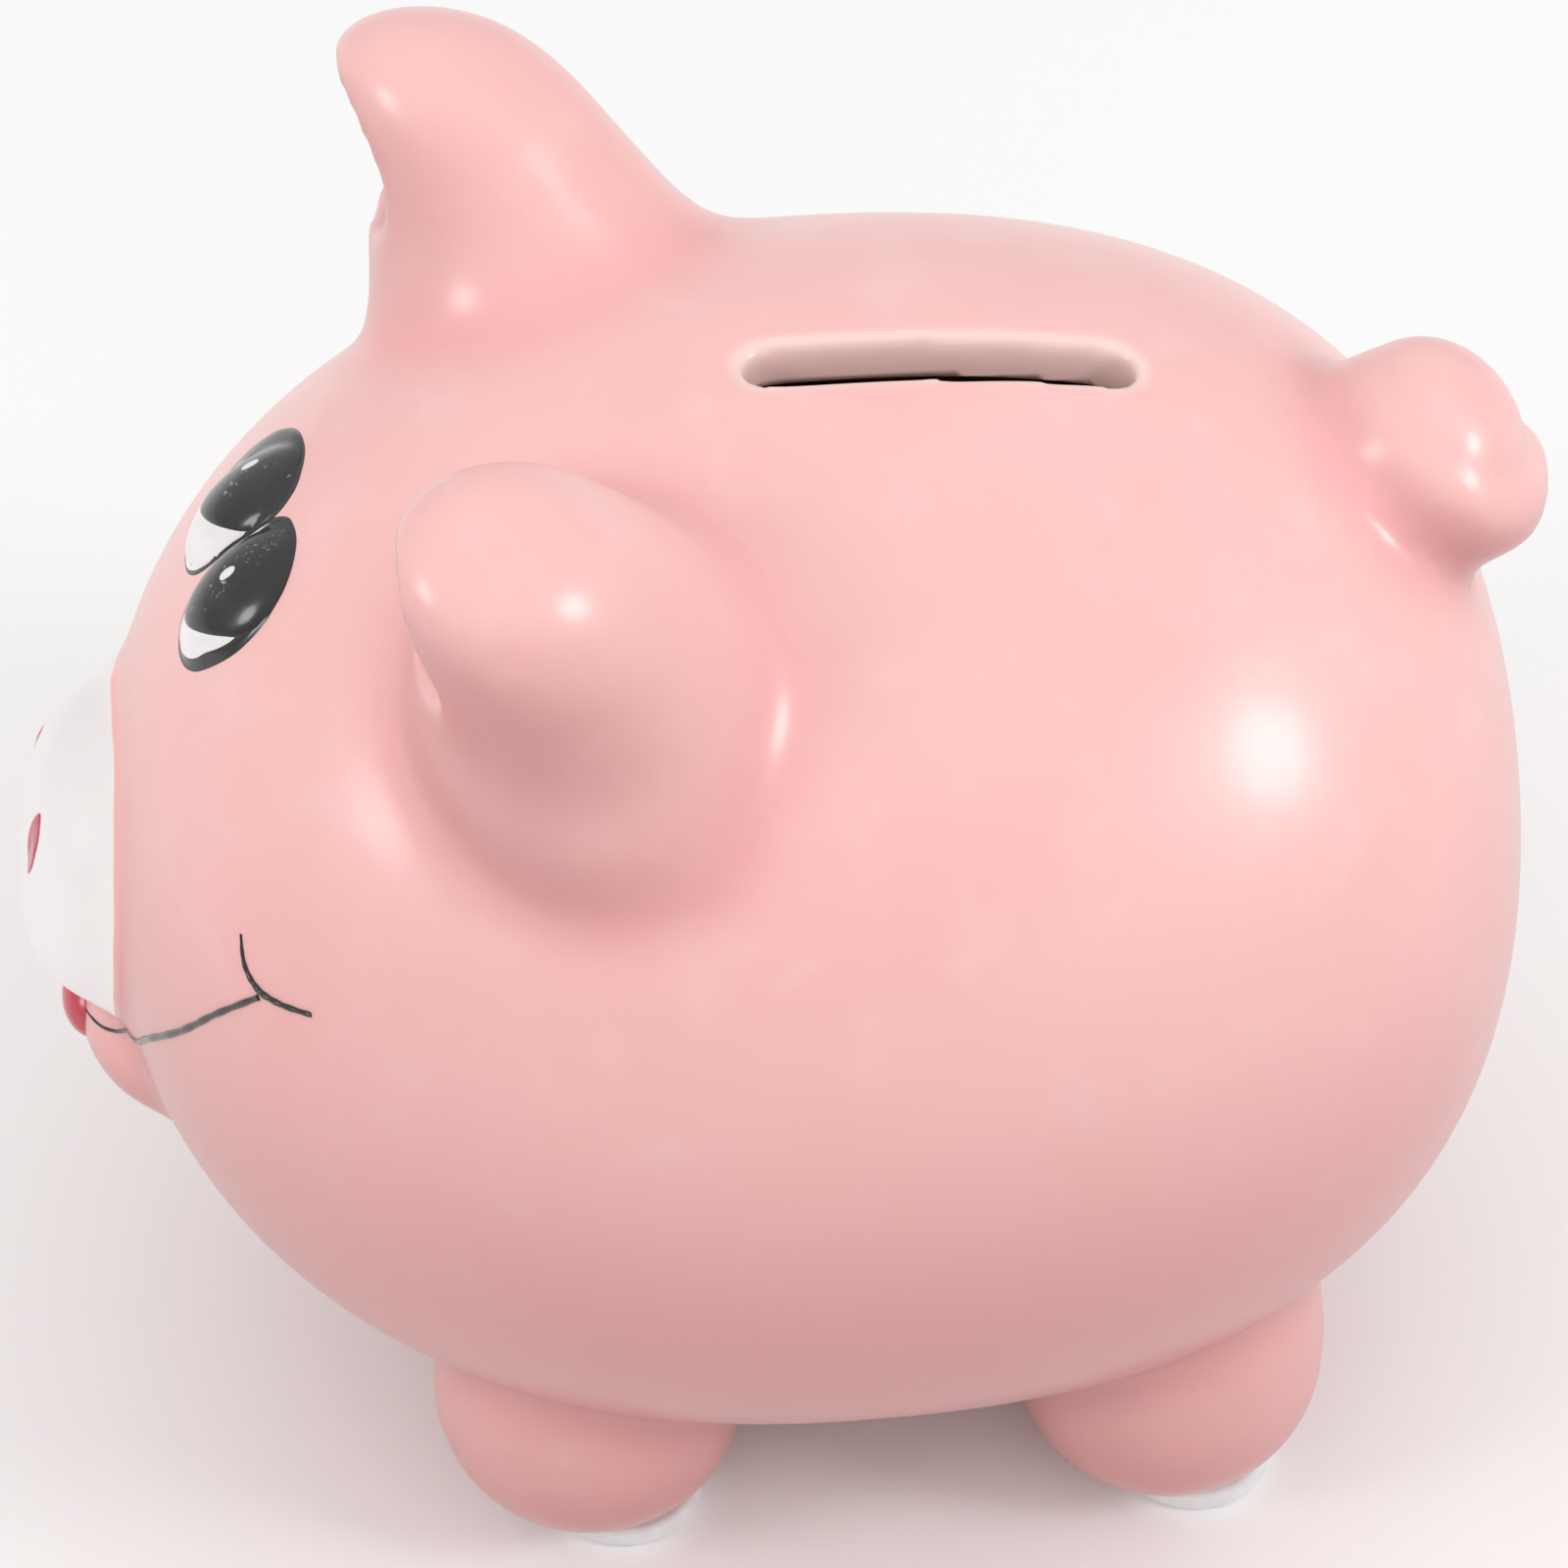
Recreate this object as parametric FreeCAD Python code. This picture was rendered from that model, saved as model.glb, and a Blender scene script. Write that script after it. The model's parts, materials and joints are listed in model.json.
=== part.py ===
"""Pig-shaped ceramic coin bank, in millimetres.

+Z is up, the pig faces -Y and its left side is +X. The origin is on the resting plane, under the
middle of the bank. The barrel is a superellipse turned about a long axis that is pitched a little
nose-up. Ears, snout, legs and tail are luted on to it, the eyes and the mouth are enamel that lies
on its skin, and a rubber stopper closes the hole in the belly.
"""
import math
import os

import FreeCAD
import Part
from FreeCAD import Matrix, Placement, Rotation, Vector

# Barrel: the hollow body and head, turned about its long axis
barrel_radius = 56.0
nose_length = 65.5  # from the widest ring to the face
rump_length = 65.2  # from the widest ring to the rump
nose_squareness = 2.2  # exponent of the superellipse
rump_squareness = 2.5
wall = 4.5
pitch = -1.2  # degrees, nose up
belly_clearance = 8.5  # from the resting plane to the underside

# Coin slot, in the back
slot_length = 33.0
slot_width = 5.2
slot_place = 12.0  # behind the widest ring
slot_lip = 1.2  # width of the softened edge

# Jaw, part of the barrel's casting
jaw_half_width = 14.0
jaw_half_length = 12.0
jaw_half_height = 11.0
jaw_back = 7.0  # its centre, behind the face
jaw_drop = 22.5  # its centre, under the long axis

# Snout
snout_radius = 16.7
snout_reach = 7.7  # in front of the face
snout_root = 8.0  # behind the face, inside the barrel
snout_squareness = 2.7
snout_tilt = 5.0  # degrees, upwards
snout_lift = 3.2  # above the long axis
nostril_half_width = 1.5
nostril_half_height = 3.4
nostril_spacing = 12.0
nostril_lift = 4.0
nostril_depth = 1.5  # under the snout's tip
nostril_slant = 12.0  # degrees, tops towards each other
glaze = 0.5  # thickness of an inlaid colour

# Ears
ear_radius = 17.0  # where the ear meets the skin
ear_height = 24.0  # outside the skin
ear_lean = 0.49  # forward travel per unit of height
ear_place = -20.0  # from the widest ring
ear_spread = 30.0  # of its seat, degrees from upright
ear_tilt = 20.0  # of its axis, degrees from upright
ear_hollow_width = 9.0  # half widths of the ellipsoid that scoops the front of an ear
ear_hollow_depth = 4.5
ear_hollow_height = 9.0
ear_hollow_lift = 0.55  # share of the ear's height
ear_hollow_out = 12.2  # ahead of the ear's axis
# Outline of an ear as (share of its height, share of its radius), flared where it joins the skin
ear_outline = [
    (1.0, 0.0), (0.975, 0.24), (0.9, 0.45), (0.8, 0.57), (0.66, 0.66), (0.5, 0.72), (0.34, 0.78), (0.16, 0.87),
    (0.0, 1.0), (-0.4, 1.2),
]

# Tail: one open turn of a round roll
tail_coil_radius = 5.8
tail_roll_radius = 5.6
tail_rise = 5.0
tail_turns = 0.85
tail_tilt = 50.0  # degrees, from upright towards the rump
tail_place = 53.5  # behind the widest ring

# Legs and their pads
leg_radius = 15.2  # at its widest
leg_spread = 24.7  # from the middle plane
front_leg_place = -23.0  # from the widest ring
rear_leg_place = 33.0
# Outline of a leg as (share of its radius, height above the pad)
leg_outline = [(0.58, 0.0), (0.81, 3.4), (0.95, 7.6), (1.0, 12.4), (0.98, 18.0), (0.92, 25.0), (0.8, 32.0)]
pad_back = 3.0  # behind the leg's axis
pad_out = 2.5  # outside the leg's axis
pad_radius = 7.5
pad_thickness = 2.5
pad_edge = 0.7

# Eyes: enamelled domes on the face
eye_half_width = 7.0
eye_half_height = 7.6
eye_thickness = 3.6  # half of it
eye_sink = 1.6  # of its middle, under the skin
eye_spread = 6.9  # from the middle plane
eye_place = -49.0  # from the widest ring
eye_rake = 50.0  # degrees, from facing upwards to facing forward
eye_roll = 6.0  # degrees, tops leaning towards each other
eye_outline = 0.6
outline_relief = 0.35
pupil_half_width = 6.2
pupil_half_height = 6.2
pupil_lift = 1.4
pupil_inset = -0.5
glint_radius = 0.75
glint_lift = 2.9  # above the middle of the eye
glint_relief = 0.15

# Tongue: an enamelled drop between the snout and the jaw
tongue_half_width = 3.6
tongue_half_length = 3.0
tongue_half_height = 3.2
tongue_back = -3.6  # its centre, behind the face
tongue_drop = 17.0  # its centre, under the long axis

# Stopper in the belly
hole_radius = 14.0
hole_place = 3.0  # behind the widest ring
flange_radius = 17.0
flange_thickness = 2.0
flange_gap = 0.6  # all round
flange_seat = 2.4  # height of the flat it closes on, above the underside
plug_clearance = 0.06
plug_length = 7.0
plug_wall = 2.2
plug_lead = 1.0
tab_width = 9.0
tab_height = 4.5
tab_thickness = 2.4

origin = Vector(0, 0, 0)
across = Vector(1, 0, 0)
along = Vector(0, 1, 0)
upright = Vector(0, 0, 1)
axis_height = belly_clearance + barrel_radius
face = -nose_length
outside = 2.0 * (nose_length + barrel_radius)  # larger than the bank, for tools that cut it


def superellipse(t, exponent):
    """Half width of a unit superellipse at a share t of its length."""
    return (1.0 - abs(t) ** exponent) ** (1.0 / exponent)


def quarter_points(length, width, exponent, count=9):
    """Points from the tip (length, 0) to the side (0, width) of a superellipse's quarter."""
    points = []
    for i in range(count):
        angle = math.pi / 2 * i / (count - 1)
        points.append((length * math.cos(angle) ** (2 / exponent), width * math.sin(angle) ** (2 / exponent)))
    return points


def egg(grow=0.0):
    """The barrel's outer form about the long axis, grown or shrunk by a distance."""
    radius = barrel_radius + grow
    nose = quarter_points(nose_length + grow, radius, nose_squareness)
    rump = quarter_points(rump_length + grow, radius, rump_squareness)
    outline = [Vector(0, -y, z) for y, z in nose] + [Vector(0, y, z) for y, z in reversed(rump[:-1])]
    curve = Part.BSplineCurve()
    curve.interpolate(Points=outline, InitialTangent=upright, FinalTangent=-upright)
    spindle = Part.LineSegment(outline[-1], outline[0])
    profile = Part.Face(Part.Wire([curve.toShape(), spindle.toShape()]))
    return profile.revolve(origin, along, 360)


def skin_radius(y):
    """Radius of the barrel at a place along its axis."""
    if y < 0:
        return barrel_radius * superellipse(y / nose_length, nose_squareness)
    return barrel_radius * superellipse(y / rump_length, rump_squareness)


def dome(height, radius, exponent):
    """A blunt round dome on the XY plane, with its tip on +Z."""
    quarter = [Vector(r, 0, z) for z, r in quarter_points(height, radius, exponent)]
    curve = Part.BSplineCurve()
    curve.interpolate(Points=quarter, InitialTangent=across, FinalTangent=-upright)
    base = Part.LineSegment(quarter[-1], origin)
    spindle = Part.LineSegment(origin, quarter[0])
    return Part.Face(Part.Wire([curve.toShape(), base.toShape(), spindle.toShape()])).revolve(origin, upright, 360)


def ellipsoid(half_x, half_y, half_z, centre=origin):
    """An ellipsoid with its half axes along X, Y and Z."""
    stretch = Matrix()
    stretch.scale(half_x, half_y, half_z)
    solid = Part.makeSphere(1.0).transformGeometry(stretch)
    solid.translate(centre)
    return solid


def stadium(length, width, height):
    """A slot-shaped outline, long in Y, at a height."""
    half = length / 2 - width / 2
    side = width / 2
    edges = [
        Part.LineSegment(Vector(side, -half, height), Vector(side, half, height)),
        Part.Arc(Vector(side, half, height), Vector(0, half + side, height), Vector(-side, half, height)),
        Part.LineSegment(Vector(-side, half, height), Vector(-side, -half, height)),
        Part.Arc(Vector(-side, -half, height), Vector(0, -half - side, height), Vector(side, -half, height)),
    ]
    return Part.Wire([edge.toShape() for edge in edges])


def moved(shape, rotation, place):
    """The shape, turned about the origin and then moved."""
    copy = shape.copy()
    copy.Placement = Placement(place, rotation).multiply(copy.Placement)
    return copy


def mirrored(shape):
    """The same piece on the pig's other side."""
    return shape.mirror(origin, across)


def slot_tool():
    """What is cut out of the back for the coins, with its softened edge."""
    shaft = Part.Face(stadium(slot_length, slot_width, barrel_radius - 3 * wall)).extrude(upright * 6 * wall)
    edge = 4 * slot_lip
    mouth = stadium(slot_length, slot_width, barrel_radius - slot_lip)
    flare = stadium(slot_length + edge, slot_width + edge, barrel_radius + slot_lip)
    tool = shaft.fuse(Part.makeLoft([mouth, flare], True))
    tool.translate(along * slot_place)
    return tool


def jaw():
    centre = Vector(0, face + jaw_back, -jaw_drop)
    return ellipsoid(jaw_half_width, jaw_half_length, jaw_half_height, centre)


def head_and_barrel():
    """Outer form of the casting, still in the barrel's own frame."""
    return egg().fuse(jaw()).removeSplitter()


def nostril_oval(side):
    """Outline of one nostril's floor, in the snout's frame: X across, Y up, Z forward."""
    oval = Part.Ellipse(origin, nostril_half_height, nostril_half_width).toShape()
    place = Vector(side * nostril_spacing / 2, nostril_lift, snout_root + snout_reach - nostril_depth)
    return moved(Part.Face(Part.Wire(oval)), Rotation(upright, 90 + side * nostril_slant), place)


def on_face(shape):
    """From the snout's frame to the barrel's."""
    return moved(shape, Rotation(across, 90 - snout_tilt), Vector(0, face + snout_root, snout_lift))


def snout_pieces():
    """Snout and the colour inlays in its left and right nostrils."""
    snout = dome(snout_reach + snout_root, snout_radius, snout_squareness)
    inlays = []
    for side in (1, -1):
        oval = nostril_oval(side)
        snout = snout.cut(oval.extrude(upright * 2 * nostril_depth))
        inlays.append(on_face(oval.extrude(upright * glaze)))
    return on_face(snout).cut(egg()).cut(jaw()), inlays[0], inlays[1]


def tongue():
    centre = Vector(0, face + tongue_back, -tongue_drop)
    drop = ellipsoid(tongue_half_width, tongue_half_length, tongue_half_height, centre)
    return drop.cut(egg()).cut(jaw())


def ear():
    """The left ear, leaning forward, hollowed in front and seated on the barrel."""
    outline = [Vector(ear_radius * share, 0, ear_height * level) for level, share in ear_outline]
    curve = Part.BSplineCurve()
    curve.interpolate(Points=outline)
    bottom = Vector(0, 0, outline[-1].z)
    base = Part.LineSegment(outline[-1], bottom)
    spindle = Part.LineSegment(bottom, outline[0])
    solid = Part.Face(Part.Wire([curve.toShape(), base.toShape(), spindle.toShape()])).revolve(origin, upright, 360)
    centre = Vector(0, -ear_hollow_out, ear_height * ear_hollow_lift)
    solid = solid.cut(ellipsoid(ear_hollow_width, ear_hollow_depth, ear_hollow_height, centre))
    lean = Matrix()
    lean.A23 = -ear_lean
    solid = solid.transformGeometry(lean)
    spread = math.radians(ear_spread)
    seat = Vector(math.sin(spread), 0, math.cos(spread)) * skin_radius(ear_place)
    return moved(solid, Rotation(along, ear_tilt), seat + along * ear_place).cut(egg())


def tail():
    """A curled roll that stands on the rump."""
    helix = Part.makeHelix(tail_rise / tail_turns, tail_rise, tail_coil_radius)
    start = Vector(tail_coil_radius, 0, 0)
    section = Part.Wire(Part.makeCircle(tail_roll_radius, start, along))
    roll = Part.Wire(helix).makePipeShell([section], True, True)
    end_angle = 2 * math.pi * tail_turns
    end = Vector(tail_coil_radius * math.cos(end_angle), tail_coil_radius * math.sin(end_angle), tail_rise)
    roll = roll.fuse(Part.makeSphere(tail_roll_radius, start)).fuse(Part.makeSphere(tail_roll_radius, end))
    core = Part.makeSphere(tail_roll_radius, Vector(0, 0, 0.5 * tail_roll_radius))
    roll = roll.fuse(core)
    seat = Vector(0, tail_place, skin_radius(tail_place))
    turned = Rotation(across, -tail_tilt).multiply(Rotation(upright, 150))
    return moved(roll, turned, seat).cut(egg())


def leg(place):
    """A left leg, flat underneath and seated on the barrel."""
    side = [Vector(leg_radius * share, 0, height) for share, height in leg_outline]
    curve = Part.BSplineCurve()
    curve.interpolate(Points=side)
    top = Vector(0, 0, side[-1].z)
    edges = [Part.LineSegment(origin, side[0]), curve, Part.LineSegment(side[-1], top), Part.LineSegment(top, origin)]
    solid = Part.Face(Part.Wire([edge.toShape() for edge in edges])).revolve(origin, upright, 360)
    solid.translate(Vector(leg_spread, place, pad_thickness))
    return solid.cut(posed(egg()))


def pad(place):
    """A round pad under a left leg."""
    disc = Part.makeCylinder(pad_radius, pad_thickness)
    rims = [edge for edge in disc.Edges if edge.Curve.TypeId == "Part::GeomCircle"]
    disc = disc.makeFillet(pad_edge, rims)
    disc.translate(Vector(leg_spread + pad_out, place + pad_back, 0))
    return disc


def posed(shape):
    """From the barrel's frame, with its long axis on Y, to the bank's frame."""
    return moved(shape, Rotation(across, -pitch), Vector(0, 0, axis_height))


def eye_frame(shape):
    """From a frame with the eye's height on Y and its outward way on Z, to the left eye's place."""
    radius = skin_radius(eye_place)
    seat = Vector(eye_spread, eye_place, math.sqrt(radius ** 2 - eye_spread ** 2))
    turned = Rotation(across, eye_rake).multiply(Rotation(upright, eye_roll))
    return moved(shape, turned, seat)


def eye_column(half_width, half_height, lift=0.0, inset=0.0):
    """An oval column through the left eye, along its outward way."""
    oval = Part.Ellipse(origin, half_height, half_width).toShape()
    column = Part.Face(Part.Wire(oval)).extrude(Vector(0, 0, 2 * wall))
    column = moved(column, Rotation(upright, 90), Vector(inset, lift, -wall))
    return eye_frame(column)


def eye_pieces():
    """Outline, white, pupil and glint of the left eye, each on the skin."""
    skin = egg()
    half = Part.makeBox(outside, outside, outside, Vector(0, -outside, -outside / 2))
    lens = eye_frame(ellipsoid(eye_half_width, eye_half_height, eye_thickness, Vector(0, 0, -eye_sink)))
    glossy = eye_frame(
        ellipsoid(eye_half_width, eye_half_height, eye_thickness + glint_relief, Vector(0, 0, -eye_sink))
    )
    ball = lens.cut(skin).common(half)
    pupil_column = eye_column(pupil_half_width, pupil_half_height, pupil_lift, pupil_inset)
    pupil = ball.common(pupil_column)
    white = ball.cut(pupil_column)
    ring = eye_column(eye_half_width + eye_outline, eye_half_height + eye_outline)
    outline = ring.common(egg(outline_relief)).cut(skin).cut(lens).common(half)
    glint = eye_column(glint_radius, glint_radius, glint_lift, pupil_inset).common(glossy).cut(lens)
    return outline, white, pupil, glint


def stopper():
    """Flanged rubber bung with a pull tab, in the bank's frame."""
    seat = belly_clearance + flange_seat
    under = seat - flange_thickness
    radius = hole_radius - plug_clearance
    lead = seat + plug_length - plug_lead
    flange = Part.makeCylinder(flange_radius, flange_thickness, Vector(0, 0, under))
    neck = Part.makeCylinder(radius, plug_length - plug_lead, Vector(0, 0, seat))
    tip = Part.makeCone(radius, radius - plug_lead, plug_lead, Vector(0, 0, lead))
    cup = Part.makeCylinder(radius - plug_wall, plug_length, Vector(0, 0, seat))
    corner = Vector(-tab_width / 2, -tab_thickness / 2, under - tab_height)
    tab = Part.makeBox(tab_width, tab_thickness, tab_height, corner)
    bung = flange.fuse([neck, tip]).cut(cup).fuse(tab).removeSplitter()
    bung.translate(along * hole_place)
    return bung


def barrel():
    """The hollow casting, with its slot and the hole and recess for the stopper."""
    outer = posed(head_and_barrel())
    cavity = posed(egg(-wall))
    centre = along * hole_place
    hole = Part.makeCylinder(hole_radius, axis_height, centre)
    flat = Part.makeCylinder(flange_radius + flange_gap, belly_clearance + flange_seat, centre)
    return outer.cut(cavity).cut(posed(slot_tool())).cut(hole).cut(flat)


def build():
    """Every piece by name."""
    snout, nostril_left, nostril_right = snout_pieces()
    tongue_piece = tongue().cut(snout)
    outline, ball, pupil, glint = eye_pieces()
    left_ear = ear()
    pieces = {
        "body_shell": barrel(),
        "snout": posed(snout),
        "nostril_left": posed(nostril_left),
        "nostril_right": posed(nostril_right),
        "ear_left": posed(left_ear),
        "ear_right": posed(mirrored(left_ear)),
        "tongue": posed(tongue_piece),
        "tail": posed(tail()),
        "belly_stopper": stopper(),
    }
    for name, shape in (("eye_outline", outline), ("eye_white", ball), ("pupil", pupil), ("eye_glint", glint)):
        pieces[name + "_left"] = posed(shape)
        pieces[name + "_right"] = posed(mirrored(shape))
    for end, place in (("front", front_leg_place), ("rear", rear_leg_place)):
        limb = leg(place)
        foot = pad(place)
        pieces["leg_" + end + "_left"] = limb
        pieces["leg_" + end + "_right"] = mirrored(limb)
        pieces["foot_pad_" + end + "_left"] = foot
        pieces["foot_pad_" + end + "_right"] = mirrored(foot)
    return pieces


def centre_on_origin(pieces):
    """Moves every piece so that the bank's middle is over the origin."""
    box = FreeCAD.BoundBox()
    for shape in pieces.values():
        box.add(shape.optimalBoundingBox(False))
    for shape in pieces.values():
        shape.translate(Vector(0, -box.Center.y, 0))


os.makedirs("parts", exist_ok=True)
pieces = build()
centre_on_origin(pieces)
for name, shape in pieces.items():
    print(name, shape.isValid(), len(shape.Solids), round(shape.Volume / 1000, 3), "cm3")
    shape.exportStep(os.path.join("parts", name + ".step"))
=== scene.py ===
import bpy
import json
import math
from mathutils import Vector, Matrix, Euler
from mathutils.bvhtree import BVHTree
from mathutils.kdtree import KDTree

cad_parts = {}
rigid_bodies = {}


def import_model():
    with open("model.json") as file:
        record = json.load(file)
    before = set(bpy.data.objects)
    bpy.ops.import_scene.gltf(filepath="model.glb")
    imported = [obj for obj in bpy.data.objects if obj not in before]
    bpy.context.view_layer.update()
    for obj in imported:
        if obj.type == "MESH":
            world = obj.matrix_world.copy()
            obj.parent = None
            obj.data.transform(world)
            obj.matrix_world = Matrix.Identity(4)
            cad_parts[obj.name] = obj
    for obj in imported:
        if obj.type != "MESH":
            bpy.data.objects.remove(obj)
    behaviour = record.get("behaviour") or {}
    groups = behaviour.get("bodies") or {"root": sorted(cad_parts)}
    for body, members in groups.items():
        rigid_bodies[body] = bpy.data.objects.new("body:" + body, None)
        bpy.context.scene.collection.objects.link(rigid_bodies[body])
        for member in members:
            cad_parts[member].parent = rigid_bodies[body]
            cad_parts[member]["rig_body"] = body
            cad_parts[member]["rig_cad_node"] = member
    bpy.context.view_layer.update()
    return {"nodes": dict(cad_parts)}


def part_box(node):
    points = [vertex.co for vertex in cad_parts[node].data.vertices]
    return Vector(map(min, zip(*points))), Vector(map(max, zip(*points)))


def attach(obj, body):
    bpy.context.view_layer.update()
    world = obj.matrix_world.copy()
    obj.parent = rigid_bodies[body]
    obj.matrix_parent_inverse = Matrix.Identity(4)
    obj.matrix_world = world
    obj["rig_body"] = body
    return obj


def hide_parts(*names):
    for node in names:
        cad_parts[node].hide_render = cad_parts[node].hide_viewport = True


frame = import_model()
nodes = frame["nodes"]
mm = 0.001
print("frame loaded", len(nodes), "nodes")


# small helpers

def deselectAll():
    if bpy.context.object and bpy.context.object.mode != "OBJECT":
        bpy.ops.object.mode_set(mode="OBJECT")
    bpy.ops.object.select_all(action="DESELECT")


def pick(*pieces):
    deselectAll()
    for piece in pieces:
        piece.select_set(True)
    bpy.context.view_layer.objects.active = pieces[0]
    return pieces[0]


def settle(piece):  # its place goes into its mesh
    pick(piece)
    bpy.ops.object.transform_apply(location=True, rotation=True, scale=True)
    return piece


def applyModifier(piece, kind, **settings):
    pick(piece)
    modifier = piece.modifiers.new(kind.title(), kind)
    for key, value in settings.items():
        setattr(modifier, key, value)
    bpy.ops.object.modifier_apply(modifier=modifier.name)
    return piece


def copyOf(node, name):  # an own, merged copy of a CAD node
    pick(nodes[node])
    bpy.ops.object.duplicate(linked=False)
    piece = bpy.context.object
    piece.name = name
    piece.data.name = name
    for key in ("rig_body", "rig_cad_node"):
        if key in piece:
            del piece[key]
    piece.parent = None
    bpy.ops.object.mode_set(mode="EDIT")
    bpy.ops.mesh.select_all(action="SELECT")
    bpy.ops.mesh.remove_doubles(threshold=0.00002)
    bpy.ops.object.mode_set(mode="OBJECT")
    piece.data.materials.clear()
    return piece


def turnOutward(piece):
    pick(piece)
    bpy.ops.object.mode_set(mode="EDIT")
    bpy.ops.mesh.select_all(action="SELECT")
    bpy.ops.mesh.remove_doubles(threshold=0.000005)
    bpy.ops.mesh.normals_make_consistent(inside=False)
    bpy.ops.object.mode_set(mode="OBJECT")
    return piece


def cutAway(piece, tool, operation="DIFFERENCE"):
    applyModifier(piece, "BOOLEAN", operation=operation, object=tool, solver="EXACT")
    bpy.data.objects.remove(tool)
    return piece


def rideOn(piece, body, replaced=()):
    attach(piece, body)
    if replaced:
        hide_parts(*replaced)
    return piece


# the barrel: its width and place come from the frame, its lengths repeat the CAD's

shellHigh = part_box("body_shell")[1]
padLow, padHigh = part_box("foot_pad_front_left")
barrel = {
    "radius": shellHigh.x,
    "axisHeight": 64.5 * mm,
    "ring": (padLow.y + padHigh.y) / 2 + 20 * mm,  # the widest ring, behind the front pads
    "nose": 65.5 * mm,
    "rump": 65.2 * mm,
    "noseSquareness": 2.2,
    "rumpSquareness": 2.5,
    "pitch": math.radians(-1.2),
    "wall": 4.5 * mm,
    "steps": 160,
    "outlineSteps": 72,
}
ringCentre = Vector((0, barrel["ring"], barrel["axisHeight"]))
barrelPose = Matrix.Translation(ringCentre) @ Matrix.Rotation(-barrel["pitch"], 4, "X")
barrelFrame = barrelPose.inverted()


def endOf(ahead):  # the length and squareness of the nose end or the rump end
    if ahead:
        return barrel["nose"], barrel["noseSquareness"]
    return barrel["rump"], barrel["rumpSquareness"]


def skinRadius(y, grow=0.0):
    length, power = endOf(y < 0)
    share = min(1.0, abs(y) / (length + grow))
    return (barrel["radius"] + grow) * (1 - share ** power) ** (1 / power)


def onSkin(y, angle):  # a point of the barrel, y mm along it and at an angle from upright
    turn = math.radians(angle)
    radius = skinRadius(y * mm)
    return barrelPose @ Vector((radius * math.sin(turn), y * mm, radius * math.cos(turn)))


def aboveSkin(point):  # roughly how far a point is outside the barrel
    local = barrelFrame @ point
    length, power = endOf(local.y < 0)
    across = math.hypot(local.x, local.z)
    level = ((across / barrel["radius"]) ** power + (abs(local.y) / length) ** power) ** (1 / power)
    return (level - 1) * local.length


def spunEgg(name, grow):  # an outline spun about the long axis
    outline = []
    steps = barrel["outlineSteps"]
    for i in range(steps + 1):
        turn = math.pi * i / steps
        length, power = endOf(turn < math.pi / 2)
        side = math.copysign(abs(math.cos(turn)) ** (2 / power), math.cos(turn))
        away = (barrel["radius"] + grow) * math.sin(turn) ** (2 / power)
        outline.append(Vector((0, -(length + grow) * side, away)))
    mesh = bpy.data.meshes.new(name)
    mesh.from_pydata(outline, [(i, i + 1) for i in range(steps)], [])
    piece = bpy.data.objects.new(name, mesh)
    bpy.context.scene.collection.objects.link(piece)
    pick(piece)
    bpy.ops.object.mode_set(mode="EDIT")
    bpy.ops.mesh.select_all(action="SELECT")
    bpy.ops.mesh.spin(steps=barrel["steps"], angle=2 * math.pi, center=(0, 0, 0), axis=(0, 1, 0))
    bpy.ops.mesh.select_all(action="SELECT")
    bpy.ops.mesh.remove_doubles(threshold=0.00001)
    bpy.ops.mesh.normals_make_consistent(inside=False)
    bpy.ops.object.mode_set(mode="OBJECT")
    piece.matrix_world = barrelPose
    return settle(piece)


# the moulded skin

skin = {
    "voxel": 0.9 * mm,
    "seatDepth": 4 * mm,
    "seatGap": 0.25 * mm,
    "slotLength": 34.2 * mm,
    "slotWidth": 5.0 * mm,
    "slotPlace": 11.2 * mm,
    "wellDepth": 18 * mm,
    "holePlace": 3 * mm,
    "holeRadius": 14 * mm,
    "flatRadius": 17.6 * mm,
    "flatHeight": 10.9 * mm,
    "softening": 7,
    "earSoftening": 22,
    "lipSoftening": 8,
    "junctionReach": 8 * mm,
    "junctionSoftening": 70,
    "creaseReach": 9 * mm,
    "rimReach": 2.2 * mm,
    "members": [
        "ear_left", "ear_right", "snout", "tail",
        "leg_front_left", "leg_front_right", "leg_rear_left", "leg_rear_right",
    ],
}
ear = {
    "place": -20,
    "splay": 30,
    "scoopHalves": (7.8, 4.8, 8.6),
    "scoopPlace": (0, -18.8, 13.2),
    "scoopTurn": 20,
    "scoopLean": 27,
    "leftTurn": -4,
    "leftShift": (0, 2.2, 0),
    "axisTilt": 0.35,
    "frontDepth": 17 * mm,
    "frontFade": 5 * mm,
}
jawShape = ((0, -59.0, -18.2), (14.5, 11.2, 8.6), (-12, 0, 0))  # place, halves and turn
tailShape = ((0, 56.0, 42.4), (9.6, 9.0, 7.6), (-50, 0, 0))
tongueShape = ((0, -68.4, -17.0), (4.6, 3.2, 3.6))
snoutPivot = Vector((0, -64 * mm, 3.2 * mm))
snoutTurn = -4


def seatDeeper(piece):  # the seat on the barrel is extruded inwards, so that the solids overlap
    pick(piece)
    mesh = piece.data
    seated = {v.index for v in mesh.vertices if abs(aboveSkin(v.co)) < skin["seatGap"]}
    bpy.ops.object.mode_set(mode="EDIT")
    bpy.ops.mesh.select_all(action="DESELECT")
    bpy.ops.object.mode_set(mode="OBJECT")
    middle = Vector((0, 0, 0))
    found = 0
    for face in mesh.polygons:
        if all(i in seated for i in face.vertices):
            face.select = True
            middle += face.center
            found += 1
    inward = (ringCentre - middle / found).normalized()
    bpy.ops.object.mode_set(mode="EDIT")
    bpy.ops.mesh.select_mode(type="FACE")
    bpy.ops.mesh.extrude_region_move(TRANSFORM_OT_translate={"value": inward * skin["seatDepth"]})
    bpy.ops.object.mode_set(mode="OBJECT")
    return piece


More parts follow.
